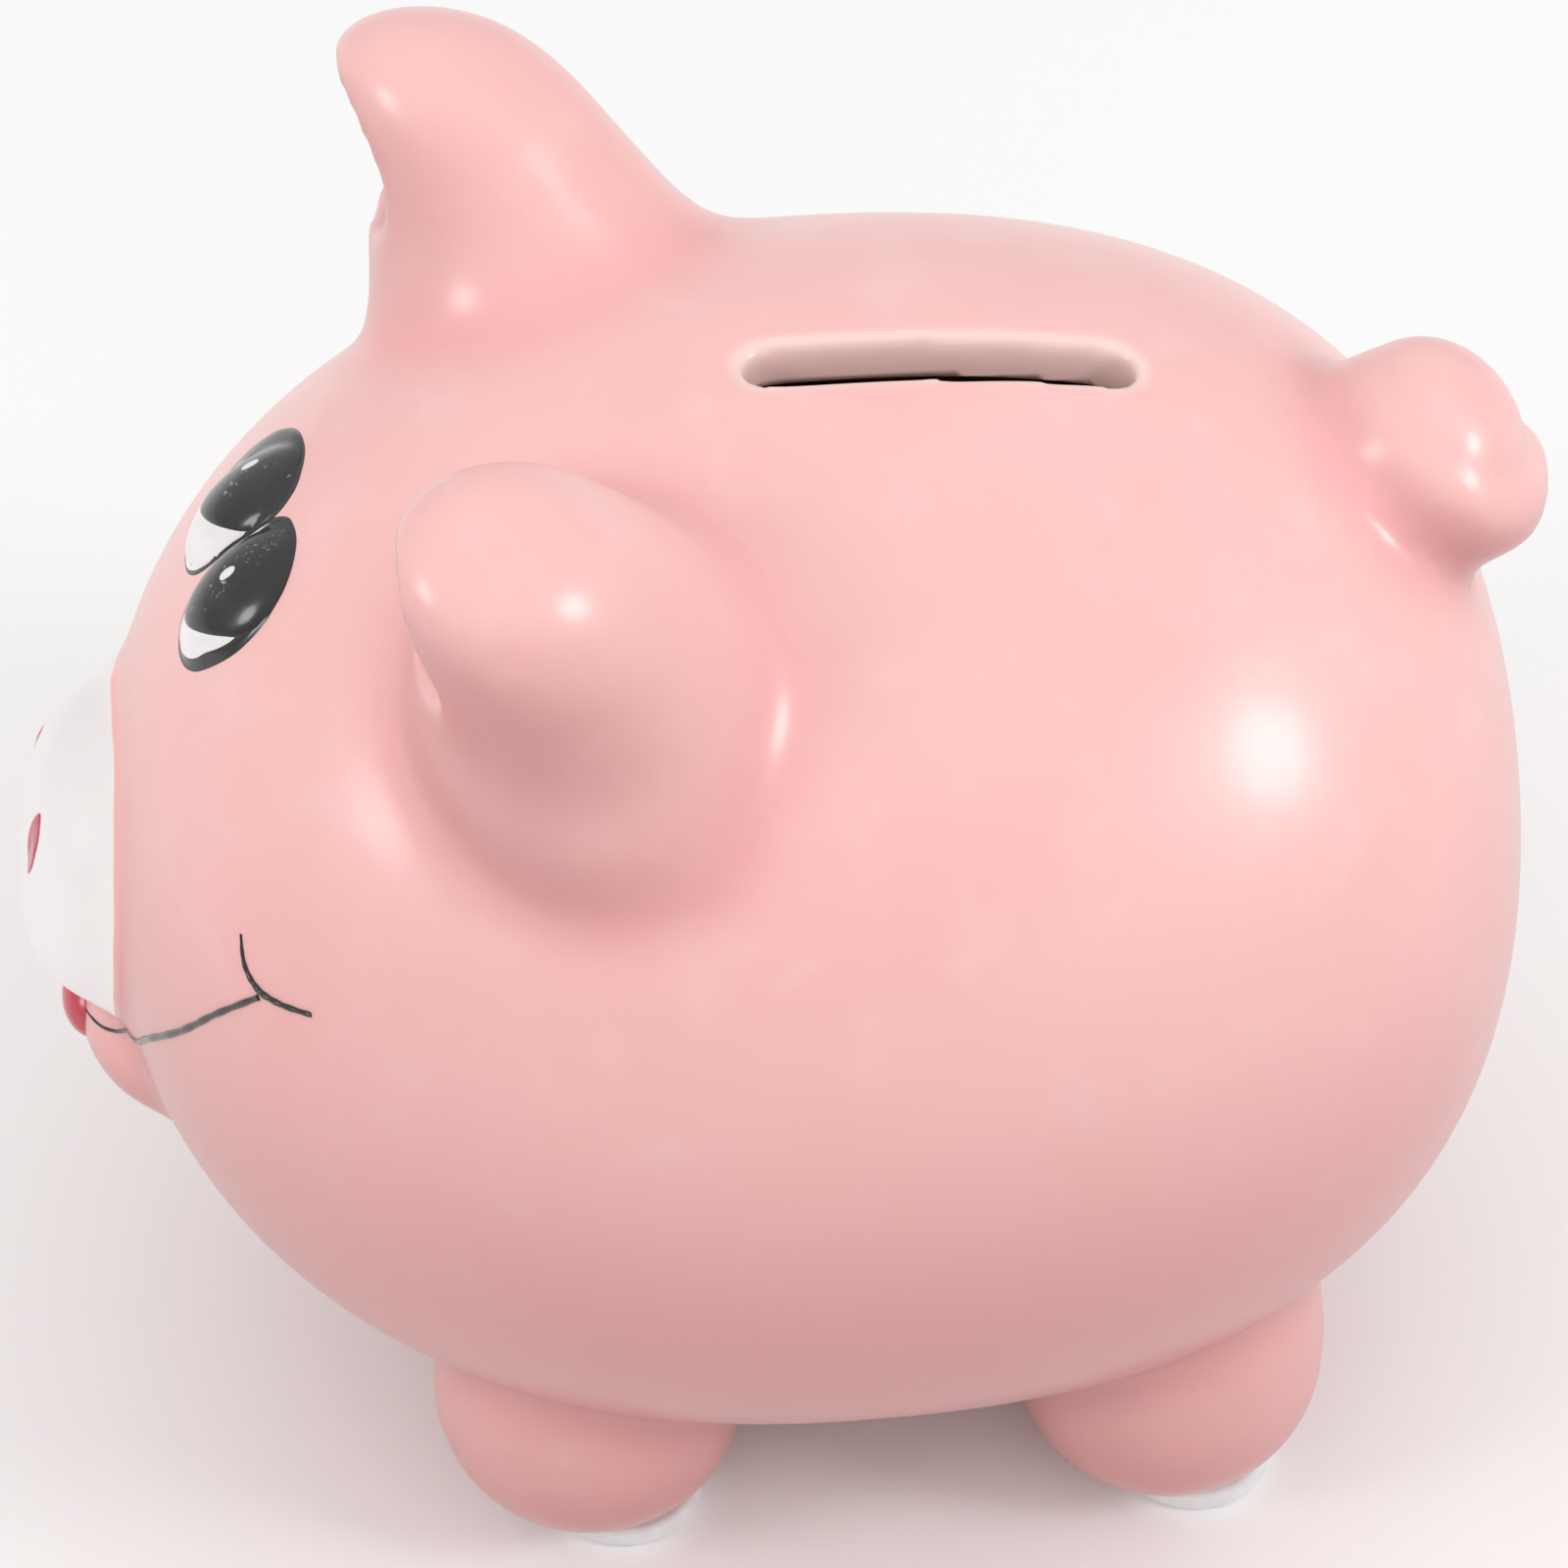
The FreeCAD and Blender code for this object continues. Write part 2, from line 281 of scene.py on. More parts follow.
def ellipsoid(name, place, halves, turn=(0, 0, 0)):  # in the barrel's frame, in mm and degrees
    bpy.ops.mesh.primitive_uv_sphere_add(segments=64, ring_count=40, radius=1)
    piece = bpy.context.object
    piece.name = name
    turned = Euler([math.radians(angle) for angle in turn]).to_matrix().to_4x4()
    size = Matrix.Diagonal((halves[0] * mm, halves[1] * mm, halves[2] * mm, 1))
    piece.matrix_world = barrelPose @ Matrix.Translation(Vector(place) * mm) @ turned @ size
    return settle(piece)


def stadiumTool(name, length, width, low, high, place):  # a slot-shaped cutter, upright
    bpy.ops.mesh.primitive_cube_add(size=1, location=(0, place, (low + high) / 2))
    tool = bpy.context.object
    tool.name = name
    tool.scale = (width, length, high - low)
    settle(tool)
    bpy.ops.object.mode_set(mode="EDIT")
    bpy.ops.mesh.select_mode(type="EDGE")
    bpy.ops.mesh.select_all(action="DESELECT")
    bpy.ops.object.mode_set(mode="OBJECT")
    for edge in tool.data.edges:
        start, end = (tool.data.vertices[i].co for i in edge.vertices)
        edge.select = abs(start.z - end.z) > 0.5 * (high - low)
    bpy.ops.object.mode_set(mode="EDIT")
    bpy.ops.mesh.bevel(offset=width * 0.495, segments=8)
    bpy.ops.object.mode_set(mode="OBJECT")
    return tool


def cylinderTool(name, radius, low, high, place):
    middle = (0, place, (low + high) / 2)
    bpy.ops.mesh.primitive_cylinder_add(vertices=96, radius=radius, depth=high - low, location=middle)
    tool = bpy.context.object
    tool.name = name
    return settle(tool)


def turnedAbout(piece, pivot, axis, angle, shift=(0, 0, 0)):
    turned = Matrix.Rotation(math.radians(angle), 4, Vector(axis))
    move = Matrix.Translation(pivot) @ turned @ Matrix.Translation(-pivot)
    piece.matrix_world = Matrix.Translation(Vector(shift) * mm) @ move @ piece.matrix_world
    return settle(piece)


deselectAll()
pigSkin = spunEgg("pig_skin", 0.0)
slotTop = shellHigh.z
slotMiddle = barrel["ring"] + skin["slotPlace"]
jaw = ellipsoid("jaw", *jawShape)
members = {node: seatDeeper(copyOf(node, node + "_cast")) for node in skin["members"]}
earSeat = onSkin(ear["place"], ear["splay"])
earAxis = (math.cos(ear["axisTilt"]), 0, -math.sin(ear["axisTilt"]))
earTurn = (earAxis, ear["leftTurn"], ear["leftShift"])
turnedAbout(members["ear_left"], earSeat, *earTurn)
turnedAbout(members["snout"], barrelPose @ snoutPivot, (1, 0, 0), snoutTurn)
tailHeart = ellipsoid("tail_heart", *tailShape)
pieces = list(members.values()) + [jaw, tailHeart]
memberPoints = [
    v.co.copy() for piece in pieces for v in piece.data.vertices if aboveSkin(v.co) > 1.2 * mm
]
memberTree = KDTree(len(memberPoints))
for i, point in enumerate(memberPoints):
    memberTree.insert(point, i)
memberTree.balance()
for piece in pieces:
    cutAway(pigSkin, piece, "UNION")
splay = math.radians(ear["splay"])
for side in (1, -1):
    radius = skinRadius(ear["place"] * mm) / mm
    seat = (side * radius * math.sin(splay), ear["place"], radius * math.cos(splay))
    scoop = ellipsoid("scoop", (0, 0, 0), ear["scoopHalves"])
    turned = Matrix.Rotation(math.radians(ear["scoopTurn"] * side), 4, "Y")
    leaned = Matrix.Rotation(math.radians(ear["scoopLean"]), 4, "X")
    seated = barrelPose @ Matrix.Translation(Vector(seat) * mm) @ turned
    scoop.matrix_world = seated @ Matrix.Translation(Vector(ear["scoopPlace"]) * mm) @ leaned @ barrelFrame
    settle(scoop)
    if side > 0:
        turnedAbout(scoop, earSeat, *earTurn)
    cutAway(pigSkin, scoop)
print("members joined", len(pigSkin.data.polygons), "faces")
slotSize = (skin["slotLength"], skin["slotWidth"])
cutAway(pigSkin, stadiumTool("slot_cut", *slotSize, slotTop - skin["wellDepth"], slotTop + 0.01, slotMiddle))

pigSkin.data.remesh_voxel_size = skin["voxel"]
pick(pigSkin)
bpy.ops.object.voxel_remesh()
print("skin remeshed", len(pigSkin.data.polygons), "faces")


def fromJoint(point):  # distance from where a member meets the barrel
    height = aboveSkin(point)
    return height if height > 0.6 * mm else memberTree.find(point)[2]


# fillets where the members are luted on
group = pigSkin.vertex_groups.new(name="junction")
for v in pigSkin.data.vertices:
    weight = 1.7 * (1 - fromJoint(v.co) / skin["junctionReach"])
    if weight > 0:
        group.add([v.index], min(1.0, weight), "REPLACE")
applyModifier(pigSkin, "SMOOTH", factor=0.5, iterations=skin["junctionSoftening"], vertex_group="junction")
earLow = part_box("ear_left")[0]
frontEnd = earLow.y + ear["frontDepth"]
fronts = pigSkin.vertex_groups.new(name="ear_fronts")
for v in pigSkin.data.vertices:
    outside = abs(v.co.x) > earLow.x - 3 * mm and v.co.z > earLow.z - 2 * mm
    if v.co.y < frontEnd and outside and aboveSkin(v.co) > mm:
        fronts.add([v.index], min(1.0, (frontEnd - v.co.y) / ear["frontFade"]), "REPLACE")
applyModifier(pigSkin, "SMOOTH", factor=0.5, iterations=skin["earSoftening"], vertex_group="ear_fronts")
lips = pigSkin.vertex_groups.new(name="slot_lips")
for v in pigSkin.data.vertices:
    high = v.co.z > slotTop - 20 * mm
    along = abs(v.co.y - slotMiddle) < skin["slotLength"] / 2 + 3 * mm
    if high and along and abs(v.co.x) < skin["slotWidth"]:
        lips.add([v.index], 1.0, "REPLACE")
applyModifier(pigSkin, "SMOOTH", factor=0.5, iterations=skin["lipSoftening"], vertex_group="slot_lips")
applyModifier(pigSkin, "SMOOTH", factor=0.5, iterations=skin["softening"])
print("skin softened")

# the hollow inside, and the flat and hole for the stopper
cutAway(pigSkin, spunEgg("hollow", -barrel["wall"]))
holeMiddle = barrel["ring"] + skin["holePlace"]
cutAway(pigSkin, cylinderTool("flat_cut", skin["flatRadius"], -0.01, skin["flatHeight"], holeMiddle))
holeTop = skin["flatHeight"] + 9 * mm
cutAway(pigSkin, cylinderTool("hole_cut", skin["holeRadius"], -0.01, holeTop, holeMiddle))
pick(pigSkin)
bpy.ops.object.shade_smooth_by_angle(angle=math.radians(50))
print("skin hollowed", len(pigSkin.data.polygons), "faces")

# how deep in a fold, and how near the slot's rim, each spot is
crease = pigSkin.data.attributes.new("crease", "FLOAT", "POINT")
rim = pigSkin.data.attributes.new("rim", "FLOAT", "POINT")
for v in pigSkin.data.vertices:
    crease.data[v.index].value = max(0.0, 1 - fromJoint(v.co) / skin["creaseReach"])
    along = max(0.0, abs(v.co.y - slotMiddle) - (skin["slotLength"] - skin["slotWidth"]) / 2)
    away = abs(math.hypot(v.co.x, along) - skin["slotWidth"] / 2)
    rim.data[v.index].value = max(0.0, 1 - away / skin["rimReach"]) if v.co.z > 100 * mm else 0.0
rideOn(pigSkin, "bank", ["body_shell"] + skin["members"])
skinTree = BVHTree.FromObject(pigSkin, bpy.context.evaluated_depsgraph_get())


# painted enamel, laid on the skin

def between(a, b, c, d, t):  # a share t of the way from b to c, on a smooth curve through all four
    bend = (2 * a - 5 * b + 4 * c - d) * t * t
    return 0.5 * (2 * b + (c - a) * t + bend + (3 * b - a - 3 * c + d) * t ** 3)


def closedCurve(points, count):  # a smooth loop through the points
    loop = []
    total = len(points)
    for i in range(count):
        place = i * total / count
        k, t = int(place), place - int(place)
        a, b, c, d = (Vector(points[(k + j) % total]) for j in (-1, 0, 1, 2))
        loop.append(between(a, b, c, d, t))
    return loop


# a thin plate with a rounded edge; it starts its search for the skin 12 mm above its pose
def plate(name, points, pose, lift, dome=None, sink=0.4, mirrored=False, rings=16, count=120):
    side = -1 if mirrored else 1
    loop = closedCurve(points, count)
    centre = sum(loop, Vector((0, 0))) / count
    outward = (pose.to_3x3() @ Vector((0, 0, 1))).normalized()
    corners = []

    def corner(spot, rise):
        above = pose @ Vector((spot.x * side * mm, spot.y * mm, 12 * mm))
        hit = skinTree.ray_cast(above, -outward, 30 * mm)[0]
        if hit is None:
            hit = skinTree.find_nearest(pose @ Vector((spot.x * side * mm, spot.y * mm, 0)))[0]
        corners.append(hit + outward * rise * mm)

    def height(spot):
        return dome(spot) if dome else 0.0

    corner(centre, height(centre) + lift)
    for k in range(1, rings + 1):
        share = math.sin(math.pi / 2 * k / rings)
        edge = math.sqrt(max(0.0, 1 - share ** 12))
        for spot in loop:
            here = centre + (spot - centre) * share
            corner(here, height(here) + lift * edge)
    for spot in loop:
        corner(spot, -sink)
    faces = [(0, 1 + i, 1 + (i + 1) % count) for i in range(count)]
    for k in range(rings):
        start = 1 + k * count
        for i in range(count):
            j = (i + 1) % count
            faces.append((start + i, start + count + i, start + count + j, start + j))
    faces.append(tuple(1 + rings * count + i for i in reversed(range(count))))
    mesh = bpy.data.meshes.new(name)
    mesh.from_pydata(corners, [], faces)
    piece = bpy.data.objects.new(name, mesh)
    bpy.context.scene.collection.objects.link(piece)
    turnOutward(piece)
    bpy.ops.object.shade_smooth_by_angle(angle=math.radians(50))
    return piece


eye = {
    "spread": 6.9, "place": -49.0, "rake": 50, "roll": 6, "innerEdge": -6.85,
    "widths": {"left": 0.99, "right": 1.26},
    "rises": {"left": 0.0, "right": 0.8},
    "domeCentre": Vector((-1.2, -1.2)), "domeHalf": (5.5, 7.6), "domeHeight": 1.8,
    "outline": [
        (-5.0, 6.3), (-3.3, 6.75), (-1.6, 6.7), (-0.1, 6.2), (1.57, 5.2), (2.9, 3.9), (3.8, 2.4),
        (4.4, 1.0), (4.65, -0.7), (4.55, -2.6), (3.9, -4.7), (2.85, -6.7), (1.8, -8.0),
        (0.25, -8.95), (-1.6, -9.3), (-3.4, -9.0), (-5.1, -8.2), (-6.3, -6.8), (-6.8, -5.0),
        (-6.85, -2.5), (-6.85, 0.0), (-6.85, 2.5), (-6.4, 4.7),
    ],
    "white": [
        (-4.0, -8.6), (-2.6, -8.85), (-1.2, -8.65), (0.6, -7.9), (1.8, -6.8), (2.6, -5.4),
        (3.4, -3.9), (3.85, -2.5), (3.95, -1.2), (3.8, 0.6), (3.3, 2.2), (2.3, 3.7), (0.8, 5.0),
        (-1.0, 5.8), (-3.0, 6.0), (-4.8, 5.6), (-6.0, 4.4), (-6.5, 2.4), (-6.65, 0.0),
        (-6.65, -2.5), (-6.5, -5.0), (-6.0, -6.7), (-5.1, -7.9),
    ],
    "pupil": {
        "left": [
            (-2.6, -6.5), (-0.9, -6.0), (0.7, -5.1), (2.2, -3.9), (3.3, -2.7), (4.0, -1.4),
            (4.25, 0.4), (3.8, 2.3), (2.8, 3.9), (1.3, 5.3), (-0.5, 6.2), (-2.3, 6.45),
            (-4.0, 6.2), (-5.4, 5.4), (-5.9, 4.0), (-5.9, 2.2), (-5.7, 0.0), (-5.4, -2.2),
            (-5.0, -4.2), (-4.4, -5.6), (-3.7, -6.3),
        ],
        "right": [
            (-3.2, -3.8), (-1.6, -4.9), (0.2, -5.3), (1.9, -4.7), (3.2, -3.3), (4.0, -1.5),
            (4.25, 0.4), (3.8, 2.3), (2.8, 3.9), (1.3, 5.3), (-0.5, 6.2), (-2.3, 6.45),
            (-4.0, 6.2), (-5.4, 5.4), (-6.3, 4.0), (-6.6, 2.2), (-6.4, 0.4), (-5.6, -1.2),
            (-4.5, -2.6),
        ],
    },
    "glint": [
        (0.0, 1.05), (0.5, 0.75), (0.62, 0.0), (0.45, -0.7), (0.0, -1.0), (-0.5, -0.7),
        (-0.62, 0.0), (-0.45, 0.75),
    ],
    "glintPlaces": {"left": Vector((-1.4, 0.6)), "right": Vector((0.6, 1.9))},
    "lifts": {"outline": 0.12, "white": 0.22, "pupil": 0.34, "glint": 0.42},
}


def eyeDome(spot):
    away = spot - eye["domeCentre"]
    level = 1 - (away.x / eye["domeHalf"][0]) ** 2 - (away.y / eye["domeHalf"][1]) ** 2
    return eye["domeHeight"] * max(0.0, level) ** 0.8


def eyePose(sign, rise):
    radius = skinRadius(eye["place"] * mm)
    height = math.sqrt(radius ** 2 - (eye["spread"] * mm) ** 2)
    seat = Vector((sign * eye["spread"] * mm, eye["place"] * mm, height))
    rolled = Matrix.Rotation(math.radians(sign * eye["roll"]), 4, "Z")
    turned = Matrix.Rotation(math.radians(eye["rake"]), 4, "X") @ rolled
    return barrelPose @ Matrix.Translation(seat) @ turned @ Matrix.Translation((0, rise * mm, 0))


enamelPieces = []
eyeParts = (
    ("outline", "eye_outline", "black_enamel"),
    ("white", "eye_white", "white_enamel"),
    ("pupil", "pupil", "black_enamel"),
)
for side, sign in (("left", 1), ("right", -1)):
    pose = eyePose(sign, eye["rises"][side])
    edge, width = eye["innerEdge"], eye["widths"][side]
    for part, node, slot in eyeParts:
        shape = eye[part][side] if part == "pupil" else eye[part]
        shape = [((u - edge) * width + edge, v) for u, v in shape]
        piece = plate(f"{node}_{side}_glaze", shape, pose, eye["lifts"][part], eyeDome, mirrored=sign < 0)
        rideOn(piece, "bank", [f"{node}_{side}"])
        enamelPieces.append((piece, part))
    spots = [Vector(point) * 0.95 + eye["glintPlaces"][side] for point in eye["glint"]]
    name, lift = f"eye_glint_{side}_glaze", eye["lifts"]["glint"]
    piece = plate(name, spots, pose, lift, eyeDome, mirrored=sign < 0, rings=6, count=32)
    rideOn(piece, "bank", [f"eye_glint_{side}"])
    enamelPieces.append((piece, "glint"))
print("eyes painted")

nostril = {
    "outline": [
        (0.0, 3.2), (1.0, 2.0), (1.55, 0.0), (1.2, -1.9), (0.0, -3.1), (-1.1, -1.9), (-1.5, 0.0),
        (-1.0, 1.9),
    ],
    "spread": 6.3, "ahead": -80, "rise": 10.2, "slant": 14, "lift": 0.12,
}
for side, sign in (("left", 1), ("right", -1)):
    seat = Matrix.Translation((sign * nostril["spread"] * mm, nostril["ahead"] * mm, nostril["rise"] * mm))
    slanted = Matrix.Rotation(math.radians(sign * nostril["slant"]), 4, "Z")
    pose = barrelPose @ (seat @ Matrix.Rotation(math.radians(90), 4, "X") @ slanted)
    piece = plate(f"nostril_{side}_glaze", nostril["outline"], pose, nostril["lift"], rings=8, count=64)
    rideOn(piece, "bank", [f"nostril_{side}"])
    enamelPieces.append((piece, "nostril"))

tongue = ellipsoid("tongue_glaze", *tongueShape)
rideOn(tongue, "bank", ["tongue"])
pick(tongue)
bpy.ops.object.shade_smooth()


def stroke(name, points, widths):  # a thin line of enamel drawn on the skin, in mm
    curve = bpy.data.curves.new(name, "CURVE")
    curve.dimensions = "3D"
    curve.bevel_depth = mm
    curve.bevel_resolution = 3
    curve.resolution_u = 3
    curve.use_fill_caps = True
    line = curve.splines.new("NURBS")
    fine = []
    fineness = smile["fineness"]
    for i in range((len(points) - 1) * fineness + 1):
        k = min(i // fineness, len(points) - 2)
        t = i / fineness - k
        a, b = Vector(points[k]), Vector(points[k + 1])
        before = Vector(points[max(0, k - 1)])
        after = Vector(points[min(len(points) - 1, k + 2)])
        spot = between(before, a, b, after, t)
        width = widths[k] + (widths[k + 1] - widths[k]) * t
        uneven = 1 + 0.12 * math.sin(i * 1.7)  # as from a brush
        fine.append((skinTree.find_nearest(barrelPose @ (spot * mm))[0], width * uneven))
    line.points.add(len(fine) - 1)
    for point, (place, width) in zip(line.points, fine):
        point.co = (*place, 1)
        point.radius = width / 2
    line.order_u = 3
    line.use_endpoint_u = True
    piece = bpy.data.objects.new(name, curve)
    bpy.context.scene.collection.objects.link(piece)
    pick(piece)
    bpy.ops.object.convert(target="MESH")
    turnOutward(piece)
    bpy.ops.object.shade_smooth_by_angle(angle=math.radians(60))
    rideOn(piece, "bank")
    enamelPieces.append((piece, "stroke"))
    return piece


smile = {
    "fineness": 8,
    "mouth": [
        (3.0, -68.5, -15.5), (7.5, -67.0, -13.8), (12.5, -65.3, -10.0), (17.5, -63.5, -5.2),
        (22.0, -61.5, 0.2), (28.5, -57.6, 8.0), (31.8, -54.05, 13.4), (34.7, -50.05, 18.2),
    ],
    "mouthWidths": [0.2, 0.35, 0.5, 0.6, 0.7, 0.7, 0.65, 0.6],
    "cheek": [
        (30.7, -51.0, 22.1), (32.35, -50.9, 19.9), (34.3, -50.0, 18.8), (36.0, -48.1, 18.7),
        (38.2, -45.3, 19.35),
    ],
    "cheekWidths": [0.25, 0.5, 0.65, 0.6, 0.5],
}
for side, sign in (("left", 1), ("right", -1)):
    for line in ("mouth", "cheek"):
        path = [(sign * x, y, z) for x, y, z in smile[line]]
        stroke(f"{line}_line_{side}", path, smile[line + "Widths"])
print("mouth painted")


# stopper

stopperLow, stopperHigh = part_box("belly_stopper")
stopper = {
    "flangeRadius": 17 * mm, "flangeHeight": 2 * mm, "neckRadius": 13.94 * mm, "wall": 2.2 * mm,
    "tabHeight": 4.5 * mm, "tabWidth": 9 * mm, "tabThickness": 2.4 * mm, "edge": 0.5 * mm,
    "ringRadii": (8 * mm, 13.5 * mm), "ringThickness": 0.45 * mm,
    "neckEdge": 0.8 * mm, "tabEdge": 0.7 * mm,
}


def bevelSharp(piece, width, segments=3, angle=40):
    limit = {"limit_method": "ANGLE", "angle_limit": math.radians(angle)}
    return applyModifier(piece, "BEVEL", width=width, segments=segments, **limit)


flangeBottom = stopperLow.z + stopper["tabHeight"]
flangeTop = flangeBottom + stopper["flangeHeight"]
stopperMiddle = (stopperLow.y + stopperHigh.y) / 2
bung = cylinderTool("stopper_bung", stopper["flangeRadius"], flangeBottom, flangeTop, stopperMiddle)
bevelSharp(bung, stopper["edge"])
neck = cylinderTool("neck", stopper["neckRadius"], flangeTop - mm, stopperHigh.z, stopperMiddle)
bevelSharp(neck, stopper["neckEdge"], 4)
cutAway(bung, neck, "UNION")
cupRadius = stopper["neckRadius"] - stopper["wall"]
cup = cylinderTool("cup", cupRadius, flangeTop, stopperHigh.z + 5 * mm, stopperMiddle)
cutAway(bung, bevelSharp(cup, stopper["edge"]))
for ringRadius in stopper["ringRadii"]:  # raised rings under the flange
    bpy.ops.mesh.primitive_torus_add(
        major_radius=ringRadius, minor_radius=stopper["ringThickness"],
        major_segments=96, minor_segments=16, location=(0, stopperMiddle, flangeBottom),
    )
    cutAway(bung, settle(bpy.context.object), "UNION")
tabMiddle = stopperLow.z + stopper["tabHeight"] / 2 + 0.25 * mm  # its root sits in the flange
bpy.ops.mesh.primitive_cube_add(size=1, location=(0, stopperMiddle, tabMiddle))
tab = bpy.context.object
tab.scale = (stopper["tabWidth"], stopper["tabThickness"], stopper["tabHeight"] + 0.5 * mm)
bevelSharp(settle(tab), stopper["tabEdge"], 4)
cutAway(bung, tab, "UNION")
pick(bung)
bpy.ops.object.shade_smooth_by_angle(angle=math.radians(35))
rideOn(bung, "stopper", ["belly_stopper"])
print("stopper made")


# shader writing

class Socket:  # a node's output, or a number, with arithmetic
    def __init__(self, book, link):
        self.book = book
        self.link = link

    def combine(self, other, operation, swapped=False):
        pair = (other, self) if swapped else (self, other)
        return self.book.node("ShaderNodeMath", {"operation": operation}, pair)

    def __add__(self, other):
        return self.combine(other, "ADD")

    def __radd__(self, other):
        return self.combine(other, "ADD", True)

    def __sub__(self, other):
        return self.combine(other, "SUBTRACT")

    def __rsub__(self, other):
        return self.combine(other, "SUBTRACT", True)

    def __mul__(self, other):
        return self.combine(other, "MULTIPLY")

    def __rmul__(self, other):
        return self.combine(other, "MULTIPLY", True)


class Book:  # one material's nodes
    def __init__(self, name):
        self.material = bpy.data.materials.new(name)
        self.material.use_nodes = True
        self.tree = self.material.node_tree
        self.tree.nodes.clear()

    def node(self, kind, settings=None, inputs=(), output=0):
        made = self.tree.nodes.new(kind)
        for key, value in (settings or {}).items():
            if key == "stops":
                ramp = made.color_ramp
                while len(ramp.elements) < len(value):
                    ramp.elements.new(0.5)
                for element, (place, colour) in zip(ramp.elements, value):
                    element.position = place
                    element.color = colour
            else:
                setattr(made, key, value)
        pairs = inputs.items() if isinstance(inputs, dict) else enumerate(inputs)
        for key, value in pairs:
            if value is None:
                continue
            if isinstance(value, Socket):
                self.tree.links.new(value.link, made.inputs[key])
            else:
                made.inputs[key].default_value = value
        return Socket(self, made.outputs[output])

    def mix(self, factor, a, b, blend="MIX"):
        made = self.tree.nodes.new("ShaderNodeMix")
        made.data_type = "RGBA"
        made.blend_type = blend
        for place, value in ((0, factor), (6, a), (7, b)):
            if isinstance(value, Socket):
                self.tree.links.new(value.link, made.inputs[place])
            else:
                made.inputs[place].default_value = value
        return Socket(self, made.outputs[2])

    def place(self):
        return self.node("ShaderNodeTexCoord", output=3)

    def axes(self, vector):
        made = self.tree.nodes.new("ShaderNodeSeparateXYZ")
        self.tree.links.new(vector.link, made.inputs[0])
        return [Socket(self, made.outputs[i]) for i in range(3)]

    def noise(self, vector, scale, detail=3.0, roughness=0.5, distortion=0.0):
        return self.node("ShaderNodeTexNoise", inputs={
            "Vector": vector, "Scale": scale, "Detail": detail,
            "Roughness": roughness, "Distortion": distortion,
        })

    def step(self, value, low, high):  # a smooth rise from 0 to 1
        return self.node("ShaderNodeMapRange", {"interpolation_type": "SMOOTHSTEP"}, {
            "Value": value, "From Min": low, "From Max": high, "To Min": 0.0, "To Max": 1.0,
        })

    def limit(self, value):
        return self.node("ShaderNodeMath", {"operation": "ADD", "use_clamp": True}, (value, 0.0))

    def finish(self, colour, roughness, bumps=(), **fixed):
        surface = self.tree.nodes.new("ShaderNodeBsdfPrincipled")
        out = self.tree.nodes.new("ShaderNodeOutputMaterial")
        self.tree.links.new(surface.outputs[0], out.inputs[0])
        for key, value in (("Base Color", colour), ("Roughness", roughness)):
            if isinstance(value, Socket):
                self.tree.links.new(value.link, surface.inputs[key])
            else:
                surface.inputs[key].default_value = value
        for key, value in fixed.items():
            surface.inputs[key.replace("_", " ")].default_value = value
        normal = None
        for height, strength, distance in bumps:
            made = self.tree.nodes.new("ShaderNodeBump")
            made.inputs["Strength"].default_value = strength
            made.inputs["Distance"].default_value = distance
            self.tree.links.new(height.link, made.inputs["Height"])
            if normal:
                self.tree.links.new(normal, made.inputs["Normal"])
            normal = made.outputs[0]
        if normal:
            self.tree.links.new(normal, surface.inputs["Normal"])
        return self.material


def rgb(red, green, blue):  # from the usual 0 to 255 to linear values
    def linear(value):
        share = value / 255
        return share / 12.92 if share <= 0.04045 else ((share + 0.055) / 1.055) ** 2.4
    return (linear(red), linear(green), linear(blue), 1.0)


# glazes

glaze = {
    "pink": rgb(250, 196, 192),
    "deep": rgb(242, 170, 168),
    "pale": rgb(252, 222, 216),
    "snout": rgb(238, 232, 232),
    # painted shade: the darker pink laid on what faces down
    "low": rgb(182, 112, 111),
    "speck": rgb(96, 62, 58),
    "speckScale": 48.0,
}
snoutPaint = {  # the white end: where its edge runs, and how far it reaches round its axis
    "axisRise": 3.5 * mm,
    "edge": 64.2 * mm,
    "slant": 0.06,
    "reach": (0.0172, 0.0176),
    "edgeBlur": (-0.0001, 0.0001),
    "seamBlur": (0.0002, 0.0007),
}


